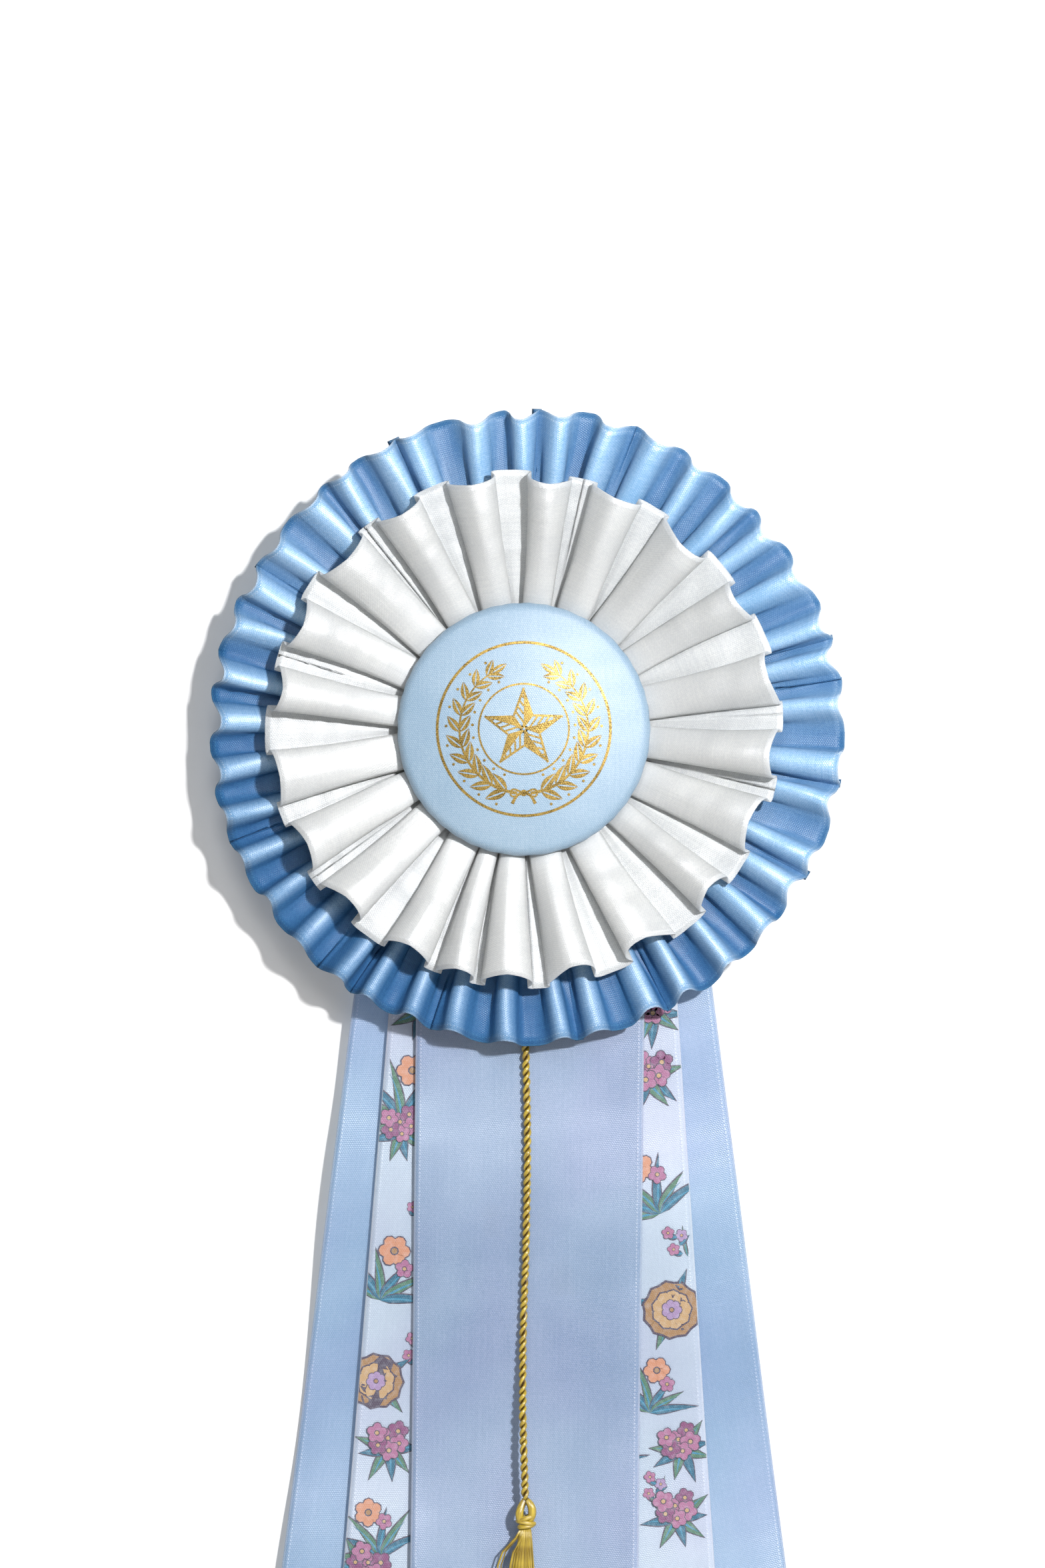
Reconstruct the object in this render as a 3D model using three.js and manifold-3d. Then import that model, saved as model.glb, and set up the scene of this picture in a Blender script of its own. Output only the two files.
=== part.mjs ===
// Award rosette: a satin-covered button on two pleated ruffles, with five ribbon tails, a tasselled cord
// and a bar pin. Millimetres, +Z up, face towards -Y, wearer's side towards +Y.
// The origin is the middle of the pin's stem, where the cloth it is pinned to is held.
import * as THREE from 'three';
import { mergeVertices } from 'three/addons/utils/BufferGeometryUtils.js';
import Module from 'manifold-3d';

const wasm = await Module();
wasm.setup();

// ---- driving dimensions -------------------------------------------------------------------------
const GAP = 0.3; // clearance between pieces that touch
const BUTTON_RADIUS = 28.4; // a 2 1/4 inch covered button
const RIBBON_WIDTH = 51.2; // the tails' ribbon, nominally 2 inches
// The pleated rings: radii, and how far the rim lies forward of the sewn edge and waves to and fro.
const WHITE = { pleats: 21, steps: 6, inner: 18, flat: 24, outer: 58, thickness: 1.6, lift: 8.6, flute: 2.4 };
const BLUE = { pleats: 41, steps: 4, inner: 33, flat: 36, outer: 72.5, thickness: 1, lift: 3.6, flute: 1.9 };
const FRONT_CARD_RADIUS = 38.5;
const BACK_CARD_RADIUS = 34;
const HINGE_Z = -75; // the line below the blue rim where the tails and the cord bend forward
const TAIL_TOP_Z = 12;
const CORD_DIAMETER = 1.8;
const PIN_HEIGHT = 12; // the bar pin's height above the button's centre
const PIN_LENGTH = 32;
const WIRE = 0.6; // staples and prongs

// What lies on what, from the wearer's side to the front: [layer, thickness].
const LAYERS = stackLayers([
  ['backCard', 0.8],
  ['clinch', 0.6],
  ['outerLeft', 0.4],
  ['outerRight', 0.4],
  ['printedLeft', 0.4],
  ['printedRight', 0.4],
  ['center', 0.4],
  ['cord', CORD_DIAMETER],
  ['frontCard', 0.8],
]);

// Each tail: its centre line's x at the button's centre height, its lean outwards in degrees, its
// lowest point, and how its end is cut.
const TAILS = [
  { name: 'outer_left', layer: 'outerLeft', x: -4.9, lean: -7.2, end: -246, cut: 'slant_left' },
  { name: 'outer_right', layer: 'outerRight', x: 9.2, lean: 7.3, end: -246, cut: 'slant_right' },
  { name: 'printed_left', layer: 'printedLeft', x: 0.6, lean: -4.7, end: -254, cut: 'slant_left' },
  { name: 'printed_right', layer: 'printedRight', x: 4.8, lean: 3.8, end: -254, cut: 'slant_right' },
  { name: 'center', layer: 'center', x: 2.1, lean: -0.6, end: -262, cut: 'swallow' },
];
const CUT_DEPTH = 22; // how far a slanted or notched end rises

// The cord's route from its staple down to the knot, as [x, y forward of its layer, z].
const CORD_UPPER = [
  [0.6, 0, -21], [0.5, 0, -30], [0.4, 0, -40], [0.4, 0, -50], [0.4, 0, -60], [0.4, 0, -71],
];
const CORD_LOWER = [
  [0.5, 0, -76], [0.7, -0.2, -83], [0.8, -0.4, -92], [0.8, -0.5, -101], [0.6, -0.6, -110],
  [0.4, -0.8, -119], [0.1, -1, -128], [-0.2, -1.1, -137], [-0.3, -1.3, -146], [-0.3, -1.4, -155],
  [0, -1.6, -164], [0.3, -1.8, -174.6],
];
const KNOT = { x: 0.4, y: -1.9, top: -174.9, bottom: -181.2, radius: 2.3 };
const TASSEL = { top: -181.5, bottom: -236, neckRadius: 1.6, skirtRadius: 6 };

// ---- colours ------------------------------------------------------------------------------------
const satin = (color) => new THREE.MeshStandardMaterial({ color, roughness: 0.45, metalness: 0 });
const metal = (color) => new THREE.MeshStandardMaterial({ color, roughness: 0.3, metalness: 1 });
const matt = (color) => new THREE.MeshStandardMaterial({ color, roughness: 0.9, metalness: 0 });
const MATERIALS = {
  buttonSatin: satin(0xb9d4ea),
  whiteSatin: satin(0xf1f2ee),
  blueSatin: satin(0x86b2e0),
  outerSatin: satin(0xaec6e6),
  centerSatin: satin(0x9fb8d8),
  printedSatin: satin(0xdde8f0),
  gold: new THREE.MeshStandardMaterial({ color: 0xc9a227, roughness: 0.4, metalness: 0.1 }),
  tin: metal(0xb9bcc0),
  steel: metal(0xa8abaf),
  nickel: metal(0xc9c7c0),
  card: matt(0xefeee9),
  foam: matt(0xf4f4f2),
  whiteThread: matt(0xf2f2f0),
  blueThread: matt(0x8fb4dc),
};

// ---- helpers ------------------------------------------------------------------------------------
function stackLayers(list) {
  const layers = {};
  let y = 0;
  for (const [name, thickness] of list) {
    layers[name] = { back: y, front: y - thickness, middle: y - thickness / 2, thickness };
    y -= thickness + GAP;
  }
  return layers;
}

function piece(name, geometry, material) {
  const mesh = new THREE.Mesh(geometry, material);
  mesh.name = name;
  return mesh;
}

// A flat plate: an outline in X and Z, its back face at backY, its front face nearer the viewer.
function plate(outline, backY, thickness, curveSegments = 12) {
  const geometry = new THREE.ExtrudeGeometry(outline, {
    depth: thickness,
    bevelEnabled: false,
    curveSegments,
  });
  return geometry.rotateX(Math.PI / 2).translate(0, backY, 0);
}

function polygon(points) {
  return new THREE.Shape(points.map(([x, z]) => new THREE.Vector2(x, z)));
}

function disc(radius, backY, thickness, segments) {
  const outline = new THREE.Shape().absarc(0, 0, radius, 0, Math.PI * 2, false);
  return plate(outline, backY, thickness, segments);
}

function box(x, y, z, width, depth, height) {
  return new THREE.BoxGeometry(width, depth, height).translate(x, y, z);
}

// A solid of revolution about the Y axis from [radius, y] points, turned to face outwards.
function turned(points, segments = 36) {
  let area = 0;
  points.forEach(([r, y], i) => {
    const [nextR, nextY] = points[(i + 1) % points.length];
    area += r * nextY - nextR * y;
  });
  const ordered = area < 0 ? [...points].reverse() : points;
  return new THREE.LatheGeometry(ordered.map(([r, y]) => new THREE.Vector2(r, y)), segments);
}

function toSolid(geometry) {
  const bare = geometry.clone();
  bare.deleteAttribute('normal');
  bare.deleteAttribute('uv');
  const merged = mergeVertices(bare, 1e-4);
  return new wasm.Manifold(
    new wasm.Mesh({
      numProp: 3,
      vertProperties: new Float32Array(merged.attributes.position.array),
      triVerts: new Uint32Array(merged.index.array),
    }),
  );
}

function toGeometry(solid) {
  const { vertProperties, triVerts } = solid.getMesh();
  const geometry = new THREE.BufferGeometry();
  geometry.setAttribute('position', new THREE.BufferAttribute(new Float32Array(vertProperties), 3));
  geometry.setIndex(new THREE.BufferAttribute(new Uint32Array(triVerts), 1));
  geometry.computeVertexNormals();
  return geometry;
}

function cut(geometry, tools) {
  return toGeometry(tools.reduce((solid, tool) => solid.subtract(toSolid(tool)), toSolid(geometry)));
}

function join(...geometries) {
  return toGeometry(geometries.map(toSolid).reduce((a, b) => a.add(b)));
}

// ---- button -------------------------------------------------------------------------------------
const BUTTON_PEAK_Y = -21.5;
const BUTTON_BACK_Y = -12.5;
const BUTTON_CROWN = 3.4; // rise of the dome between its rounded edge and its middle
const EDGE_RADIUS = 2.6;
const CLOTH = 0.35;
const TINPLATE = 0.4;
const BACK_PLATE_RADIUS = 25.2;
const PRONG = { x: 6, width: 4, reach: 7 };

// The button's dome, set in by an offset: points from the middle out and round the edge to backY.
function domeProfile(offset, backY) {
  const radius = BUTTON_RADIUS - offset;
  const edge = EDGE_RADIUS - offset;
  const peak = BUTTON_PEAK_Y + offset;
  const slope = Math.atan((2 * BUTTON_CROWN) / (radius - edge));
  const crownEnd = radius - edge + edge * Math.sin(slope);
  const points = [];
  for (let i = 0; i <= 7; i++) {
    const r = (crownEnd * i) / 7;
    points.push([r, peak + BUTTON_CROWN * (r / crownEnd) ** 2]);
  }
  const centerY = peak + BUTTON_CROWN + edge * Math.cos(slope);
  for (let i = 1; i <= 4; i++) {
    const angle = slope + ((Math.PI / 2 - slope) * i) / 4;
    points.push([radius - edge + edge * Math.sin(angle), centerY - edge * Math.cos(angle)]);
  }
  points.push([radius, backY]);
  return points;
}

function buttonCover() {
  const lip = BACK_PLATE_RADIUS + GAP + 0.1;
  const outside = domeProfile(0, BUTTON_BACK_Y);
  const inside = domeProfile(CLOTH, BUTTON_BACK_Y - CLOTH).reverse();
  const turnedIn = [[lip, BUTTON_BACK_Y], [lip, BUTTON_BACK_Y - CLOTH]];
  return turned([...outside, ...turnedIn, ...inside]);
}

function buttonShell() {
  const edgeY = BUTTON_BACK_Y - CLOTH - GAP;
  const outside = domeProfile(CLOTH + GAP, edgeY);
  const inside = domeProfile(CLOTH + GAP + TINPLATE, edgeY).reverse();
  return turned([...outside, ...inside]);
}

// A disc with two prongs that pass through the card and are bent outwards behind it.
function buttonBackPlate() {
  const tipBackY = LAYERS.cord.front + WIRE;
  const parts = [disc(BACK_PLATE_RADIUS, BUTTON_BACK_Y, 0.8, 24)];
  for (const side of [-1, 1]) {
    const legDepth = tipBackY - BUTTON_BACK_Y + 0.4;
    const legY = tipBackY - legDepth / 2;
    const tipX = side * (PRONG.x + PRONG.reach / 2 - WIRE / 2);
    parts.push(box(side * PRONG.x, legY, 0, WIRE, legDepth, PRONG.width));
    parts.push(box(tipX, tipBackY - WIRE / 2, 0, PRONG.reach, WIRE, PRONG.width));
  }
  return join(...parts);
}

function prongSlots() {
  const room = 2 * GAP;
  return [-1, 1].map((side) =>
    box(side * PRONG.x, LAYERS.frontCard.middle, 0, WIRE + room, 4, PRONG.width + room),
  );
}

// ---- ruffles ------------------------------------------------------------------------------------
const RUFFLE_BACK_Y = LAYERS.frontCard.front - GAP;

// A pleated ring: flat where it is sewn to the card, waving to and fro towards its rim.
function ruffleGeometry({ pleats, steps, inner, flat, outer, thickness, lift, flute }) {
  const count = pleats * steps;
  const ringY = (radius, angle, side) => {
    const t = Math.max(0, (radius - flat) / (outer - flat));
    const wave = flute * t * Math.cos(pleats * angle);
    return RUFFLE_BACK_Y - thickness / 2 - lift * t + wave + (side * thickness) / 2;
  };
  const section = [[inner, -1], [flat, -1], [outer, -1], [outer, 1], [flat, 1], [inner, 1]];
  const positions = [];
  for (let i = 0; i < count; i++) {
    const angle = (i / count) * Math.PI * 2;
    for (const [radius, side] of section) {
      positions.push(radius * Math.sin(angle), ringY(radius, angle, side), radius * Math.cos(angle));
    }
  }
  const index = [];
  const size = section.length;
  for (let i = 0; i < count; i++) {
    for (let j = 0; j < size; j++) {
      const a = i * size + j;
      const b = i * size + ((j + 1) % size);
      const c = ((i + 1) % count) * size + ((j + 1) % size);
      const d = ((i + 1) % count) * size + j;
      index.push(a, c, b, a, d, c);
    }
  }
  const geometry = new THREE.BufferGeometry();
  geometry.setAttribute('position', new THREE.Float32BufferAttribute(positions, 3));
  geometry.setIndex(index);
  geometry.computeVertexNormals();
  return geometry;
}

// The line of stitching that holds the pleats, as a thin ring on the ruffle's sewn edge.
function stitching(radius, frontY, wire) {
  const ring = new THREE.TorusGeometry(radius, wire / 2, 6, 36);
  return ring.rotateX(Math.PI / 2).translate(0, frontY - GAP - wire / 2, 0);
}

// ---- staples ------------------------------------------------------------------------------------
const RUFFLE_STAPLE = {
  width: 8,
  front: RUFFLE_BACK_Y - WHITE.thickness - GAP - WIRE,
  back: LAYERS.cord.front + WIRE,
};
const TAIL_STAPLE = {
  width: 8,
  front: RUFFLE_BACK_Y - WIRE,
  back: LAYERS.clinch.back,
};
const STAPLES = [
  ...[45, 135, 225, 315].map((degrees, i) => {
    const angle = THREE.MathUtils.degToRad(degrees);
    const place = { x: 22 * Math.sin(angle), z: 22 * Math.cos(angle), turn: angle };
    return { name: `ruffle_staple_${i + 1}`, ...RUFFLE_STAPLE, ...place, through: 'ruffle' };
  }),
  { name: 'tail_staple_left', ...TAIL_STAPLE, x: -8, z: -8, turn: 0, through: 'tails' },
  { name: 'tail_staple_right', ...TAIL_STAPLE, x: 8, z: -8, turn: 0, through: 'tails' },
];

// A staple bent from square wire: a crown in front, two legs, and tips folded inwards behind.
function stapleGeometry({ width, front, back, x, z, turn }) {
  const half = width / 2;
  const tip = 2.6;
  const outline = polygon([
    [-half, front], [half, front], [half, back], [half - tip, back], [half - tip, back - WIRE],
    [half - WIRE, back - WIRE], [half - WIRE, front + WIRE], [-half + WIRE, front + WIRE],
    [-half + WIRE, back - WIRE], [-half + tip, back - WIRE], [-half + tip, back], [-half, back],
  ]);
  const geometry = new THREE.ExtrudeGeometry(outline, { depth: WIRE, bevelEnabled: false });
  return geometry.translate(0, 0, -WIRE / 2).rotateY(turn).translate(x, 0, z);
}

// Clearance for both legs of every staple that goes through the given layers.
function legHoles(...through) {
  const size = WIRE + 2 * GAP;
  return STAPLES.filter((staple) => through.includes(staple.through)).flatMap((staple) =>
    [-1, 1].map((side) => {
      const leg = box((side * (staple.width - WIRE)) / 2, 0, 0, size, 40, size);
      return leg.rotateY(staple.turn).translate(staple.x, 0, staple.z);
    }),
  );
}

// ---- tails --------------------------------------------------------------------------------------
// The ribbon's outline between two heights; its lower end is level, slanted or notched.
function tailOutline({ x, lean, cut: style }, top, bottom, isEnd) {
  const slope = Math.tan(THREE.MathUtils.degToRad(lean));
  const half = RIBBON_WIDTH / 2 / Math.cos(Math.atan(slope));
  const at = (side, z) => [x - z * slope + side * half, z];
  const rise = (wanted) => (isEnd && style === wanted ? bottom + CUT_DEPTH : bottom);
  const points = [at(1, top), at(-1, top), at(-1, rise('slant_right'))];
  if (isEnd && style === 'swallow') points.push(at(0, bottom + CUT_DEPTH));
  points.push(at(1, rise('slant_left')));
  return polygon(points);
}

function tailPieces(tail, material) {
  const layer = LAYERS[tail.layer];
  const heading = plate(tailOutline(tail, TAIL_TOP_Z, HINGE_Z + 0.5, false), layer.back, layer.thickness);
  const drop = plate(tailOutline(tail, HINGE_Z - 0.5, tail.end, true), layer.back, layer.thickness);
  return [
    piece(`tail_${tail.name}_heading`, cut(heading, legHoles('tails')), material),
    piece(`tail_${tail.name}`, drop, material),
  ];
}

// ---- cord, knot and tassel ----------------------------------------------------------------------
function cordGeometry(route) {
  const y = LAYERS.cord.middle;
  const curve = new THREE.CatmullRomCurve3(
    route.map(([x, forward, z]) => new THREE.Vector3(x, y + forward, z)),
  );
  const section = new THREE.Shape(
    Array.from({ length: 8 }, (_, i) => {
      const angle = (i / 8) * Math.PI * 2;
      const r = CORD_DIAMETER / 2;
      return new THREE.Vector2(r * Math.cos(angle), r * Math.sin(angle));
    }),
  );
  const steps = Math.round(curve.getLength() / (2.4 * CORD_DIAMETER));
  return new THREE.ExtrudeGeometry(section, { steps, extrudePath: curve, bevelEnabled: false });
}

// A solid of revolution about a vertical axis, flattened front to back, from [radius, z] points.
function hanging(points, flatten, x, y, segments = 16) {
  const geometry = turned(points, segments).rotateX(Math.PI / 2);
  return geometry.scale(1, flatten, 1).translate(x, y, 0);
}

function knotGeometry() {
  const { top, bottom, radius } = KNOT;
  const points = [];
  for (let i = 0; i <= 8; i++) {
    const angle = (i / 8) * Math.PI;
    const z = (top + bottom) / 2 + ((top - bottom) / 2) * Math.cos(angle);
    points.push([i % 8 ? radius * Math.sin(angle) ** 0.7 : 0, z]);
  }
  return hanging(points, 0.85, KNOT.x, LAYERS.cord.middle + KNOT.y);
}

function tasselGeometry() {
  const { top, bottom, neckRadius, skirtRadius } = TASSEL;
  const points = [
    [0, top], [0.6, top - 0.1], [neckRadius, top - 2.5], [3, top - 12], [4.4, top - 26],
    [5.4, top - 42], [skirtRadius, bottom + 2], [skirtRadius, bottom], [0, bottom],
  ];
  return hanging(points, 0.48, KNOT.x, LAYERS.cord.middle + KNOT.y);
}

function glueDab() {
  const dab = new THREE.SphereGeometry(1, 12, 8).scale(3.2, CORD_DIAMETER / 2, 3);
  return dab.translate(CORD_UPPER[0][0], LAYERS.cord.middle, CORD_UPPER[0][2] + 3 + GAP);
}

// ---- bar pin ------------------------------------------------------------------------------------
const PAD = { depth: 0.8, width: 30, height: 4.4 };
const BAR = { depth: 0.8, height: 5, back: GAP + PAD.depth + GAP + 0.8 };
const STEM = { diameter: 0.9, y: BAR.back + 2.6, pivotX: -PIN_LENGTH / 2 + 2.4, tipX: PIN_LENGTH / 2 + 0.6 };
const RIVET_RADIUS = 0.5;
const EAR_RADIUS = 1.7;
const CATCH = { x: PIN_LENGTH / 2 - 3.4, length: 4, inner: 1.95, outer: 2.5, slot: 1.6 };
const BARREL = { inner: 0.85, outer: 1.6, overhang: 1.4, tab: 2.6 };

// A straight round rod along X.
function rod(radius, fromX, toX, y, segments = 10) {
  const geometry = new THREE.CylinderGeometry(radius, radius, toX - fromX, segments);
  return geometry.rotateZ(Math.PI / 2).translate((fromX + toX) / 2, y, 0);
}

// A round piece about a vertical axis at the stem's pivot.
function pivotDisc(radius, fromZ, toZ, segments = 16) {
  const geometry = new THREE.CylinderGeometry(radius, radius, toZ - fromZ, segments);
  return geometry.rotateX(Math.PI / 2).translate(STEM.pivotX, STEM.y, (fromZ + toZ) / 2);
}

function rearwardSlot(width) {
  return box(CATCH.x, STEM.y + 5, 0, 14, 10, width);
}

// The bar with two ears for the hinge and an open housing for the turning catch.
function pinBar() {
  const bar = box(0, BAR.back - BAR.depth / 2, 0, PIN_LENGTH, BAR.depth, BAR.height);
  const ears = [-1, 1].flatMap((side) => {
    const [low, high] = side > 0 ? [1.1, 1.7] : [-1.7, -1.1];
    const webDepth = STEM.y - BAR.back + 0.2;
    const web = box(STEM.pivotX, STEM.y - webDepth / 2, side * 1.4, EAR_RADIUS * 2, webDepth, 0.6);
    return [pivotDisc(EAR_RADIUS, low, high), web];
  });
  const half = CATCH.length / 2;
  const housing = rod(CATCH.outer, CATCH.x - half, CATCH.x + half, STEM.y, 20);
  const foot = box(CATCH.x, BAR.back + 0.5, 0, CATCH.length, 1.4, 2.6);
  const bore = rod(CATCH.inner, CATCH.x - 6, CATCH.x + 6, STEM.y, 20);
  const rivetHole = pivotDisc(RIVET_RADIUS + GAP, -4, 4);
  return cut(join(bar, ...ears, housing, foot), [bore, rivetHole, rearwardSlot(2.2)]);
}

function pinStem() {
  const eye = pivotDisc(1.3, -0.8, 0.8);
  const shaft = rod(STEM.diameter / 2, STEM.pivotX, STEM.tipX - 2.4, STEM.y);
  const point = new THREE.CylinderGeometry(0.1, STEM.diameter / 2, 2.6, 10);
  point.rotateZ(-Math.PI / 2).translate(STEM.tipX - 1.3, STEM.y, 0);
  return cut(join(eye, shaft, point), [pivotDisc(RIVET_RADIUS + GAP, -4, 4)]);
}

function pinRivet() {
  const head = 1.7 + GAP;
  const points = [
    [0, -head - 0.5], [0.9, -head - 0.5], [0.9, -head], [RIVET_RADIUS, -head],
    [RIVET_RADIUS, head], [0.9, head], [0.9, head + 0.5], [0, head + 0.5],
  ];
  return turned(points, 12).rotateX(Math.PI / 2).translate(STEM.pivotX, STEM.y, 0);
}

// The slotted barrel that turns round the stem's tip, with a thumb tab beyond the housing.
function pinCatch() {
  const half = CATCH.length / 2;
  const barrel = rod(BARREL.outer, CATCH.x - half - 0.4, CATCH.x + half + BARREL.overhang, STEM.y, 20);
  const tabX = CATCH.x + half + GAP + 0.1;
  const collar = rod(2.4, tabX, tabX + 1, STEM.y, 20);
  const tab = box(tabX + 0.5, STEM.y + 0.6, 2.4, 1, 1.2, BARREL.tab);
  const bore = rod(BARREL.inner, CATCH.x - 6, CATCH.x + 6, STEM.y, 20);
  return cut(join(barrel, collar, tab), [bore, rearwardSlot(CATCH.slot)]);
}

// ---- assembly -----------------------------------------------------------------------------------
const button = new THREE.Group();
button.add(
  piece('button_cover', buttonCover(), MATERIALS.buttonSatin),
  piece('button_shell', buttonShell(), MATERIALS.tin),
  piece('button_back_plate', buttonBackPlate(), MATERIALS.tin),
);

const ruffles = new THREE.Group();
const whiteFrontY = RUFFLE_BACK_Y - WHITE.thickness;
const blueFrontY = RUFFLE_BACK_Y - BLUE.thickness;
ruffles.add(
  piece('white_ruffle', cut(ruffleGeometry(WHITE), legHoles('ruffle')), MATERIALS.whiteSatin),
  piece('blue_ruffle', ruffleGeometry(BLUE), MATERIALS.blueSatin),
  piece('white_ruffle_stitching', stitching(WHITE.inner + 2, whiteFrontY, 0.5), MATERIALS.whiteThread),
  piece('blue_ruffle_stitching', stitching(BLUE.inner + 2, blueFrontY, 0.4), MATERIALS.blueThread),
);

const cards = new THREE.Group();
const { frontCard, backCard } = LAYERS;
const frontDisc = disc(FRONT_CARD_RADIUS, frontCard.back, frontCard.thickness, 24);
cards.add(
  piece('front_card', cut(frontDisc, [...legHoles('ruffle', 'tails'), ...prongSlots()]), MATERIALS.card),
  piece('back_card', disc(BACK_CARD_RADIUS, backCard.back, backCard.thickness, 24), MATERIALS.card),
);
for (const staple of STAPLES) cards.add(piece(staple.name, stapleGeometry(staple), MATERIALS.steel));

const tails = new THREE.Group();
const TAIL_MATERIALS = {
  outer_left: MATERIALS.outerSatin,
  outer_right: MATERIALS.outerSatin,
  printed_left: MATERIALS.printedSatin,
  printed_right: MATERIALS.printedSatin,
  center: MATERIALS.centerSatin,
};
for (const tail of TAILS) tails.add(...tailPieces(tail, TAIL_MATERIALS[tail.name]));

const cord = new THREE.Group();
cord.add(
  piece('cord_glue_dab', glueDab(), MATERIALS.foam),
  piece('cord_upper', cordGeometry(CORD_UPPER), MATERIALS.gold),
  piece('cord_lower', cordGeometry(CORD_LOWER), MATERIALS.gold),
  piece('cord_knot', knotGeometry(), MATERIALS.gold),
  piece('tassel', tasselGeometry(), MATERIALS.gold),
);

const pin = new THREE.Group();
const padY = GAP + PAD.depth / 2;
pin.add(
  piece('pin_pad', box(0, padY, 0, PAD.width, PAD.depth, PAD.height), MATERIALS.foam),
  piece('pin_bar', pinBar(), MATERIALS.nickel),
  piece('pin_stem', pinStem(), MATERIALS.nickel),
  piece('pin_rivet', pinRivet(), MATERIALS.nickel),
  piece('pin_catch', pinCatch(), MATERIALS.nickel),
);
pin.position.z = PIN_HEIGHT;

const rosette = new THREE.Group();
rosette.add(button, ruffles, cards, tails, cord, pin);
rosette.position.set(0, -STEM.y, -PIN_HEIGHT);

const part = new THREE.Group();
part.add(rosette);
part.updateMatrixWorld(true);

export default part;
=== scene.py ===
"""Award rosette: a satin button with a gold foil emblem, two pleated ruffles, five ribbon tails,
a twisted gold cord with a tassel, and a bar pin. Shapes are worked out in millimetres about the
button's centre on the back card's rear face (x right, y away from the viewer, z up)."""
import random
from math import atan, cos, dist, hypot, pi, radians, sin, sqrt, tan, tau
from types import SimpleNamespace

import bpy
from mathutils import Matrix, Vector, noise


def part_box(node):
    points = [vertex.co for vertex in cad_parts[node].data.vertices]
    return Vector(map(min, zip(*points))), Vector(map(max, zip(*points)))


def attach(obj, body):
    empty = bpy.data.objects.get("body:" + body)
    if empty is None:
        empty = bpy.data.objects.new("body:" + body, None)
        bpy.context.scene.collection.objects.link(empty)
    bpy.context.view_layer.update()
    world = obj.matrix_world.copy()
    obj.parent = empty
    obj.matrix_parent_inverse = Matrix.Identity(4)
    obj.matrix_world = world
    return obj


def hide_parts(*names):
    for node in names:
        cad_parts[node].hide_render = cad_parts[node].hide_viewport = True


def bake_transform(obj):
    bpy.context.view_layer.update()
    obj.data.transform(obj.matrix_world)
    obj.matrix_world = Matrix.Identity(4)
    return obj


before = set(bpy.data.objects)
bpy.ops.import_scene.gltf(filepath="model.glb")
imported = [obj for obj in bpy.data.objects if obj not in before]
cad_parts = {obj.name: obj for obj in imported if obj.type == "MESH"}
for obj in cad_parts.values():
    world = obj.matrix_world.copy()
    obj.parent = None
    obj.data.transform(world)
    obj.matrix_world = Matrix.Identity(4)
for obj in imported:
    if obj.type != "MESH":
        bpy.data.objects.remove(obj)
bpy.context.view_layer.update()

MM = 0.001
card_low, card_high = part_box("back_card")
CENTER = Vector(((card_low.x + card_high.x) / 2, card_high.y, (card_low.z + card_high.z) / 2))


def place(x, y, z):
    """A point in millimetres about the button's centre, as a place in the frame."""
    return CENTER + Vector((x, y, z)) * MM


def lerp(a, b, t):
    return a + (b - a) * t


def smooth(t):
    t = min(1.0, max(0.0, t))
    return t * t * (3 - 2 * t)


def spoke(angle, length=1.0):
    """The point at a clock angle in radians and a distance, as (across, up)."""
    return Vector((sin(angle), cos(angle))) * length


# ---- camera and stage ---------------------------------------------------------------------------
VIEW_SPAN = 352.8  # the height that the picture takes in at the ruffles
VIEW_DISTANCE = 1150
VIEW_ACROSS = -0.3  # the camera looks at a point this far right of the button's centre
VIEW_HEIGHT = -12.3  # and this far above it
SENSOR = 36
LIGHTS_AIM = (0, 0, -60)
VIEW_PLANE_Y = -14
WALL_Y = 2.6  # between the pin's bar and its stem, as the cloth the rosette is pinned to


def add_camera():
    data = bpy.data.cameras.new("camera")
    data.sensor_fit = "VERTICAL"
    data.sensor_height = SENSOR
    data.sensor_width = SENSOR
    data.lens = SENSOR * VIEW_DISTANCE / VIEW_SPAN
    camera = bpy.data.objects.new("camera", data)
    bpy.context.scene.collection.objects.link(camera)
    camera.location = place(VIEW_ACROSS, VIEW_PLANE_Y - VIEW_DISTANCE, VIEW_HEIGHT)
    camera.rotation_euler = (radians(90), 0, 0)
    bpy.context.scene.camera = camera


def add_light(name, place_at, size, power, color=(1, 1, 1)):
    """A softbox facing the rosette: where it is and how wide and tall, in millimetres, and its watts."""
    data = bpy.data.lights.new(name, "AREA")
    data.shape = "RECTANGLE"
    data.size, data.size_y = size[0] * MM, size[1] * MM
    data.energy = power
    data.color = color
    light = bpy.data.objects.new(name, data)
    bpy.context.scene.collection.objects.link(light)
    light.location = place(*place_at)
    aim = place(*LIGHTS_AIM) - light.location
    light.rotation_euler = aim.to_track_quat("-Z", "Y").to_euler()


def flat_quad(name, corners, material):
    mesh = bpy.data.meshes.new(name)
    mesh.from_pydata([place(*c) for c in corners], [], [(0, 1, 2, 3)])
    mesh.materials.append(material)
    quad = bpy.data.objects.new(name, mesh)
    bpy.context.scene.collection.objects.link(quad)
    return quad


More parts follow.
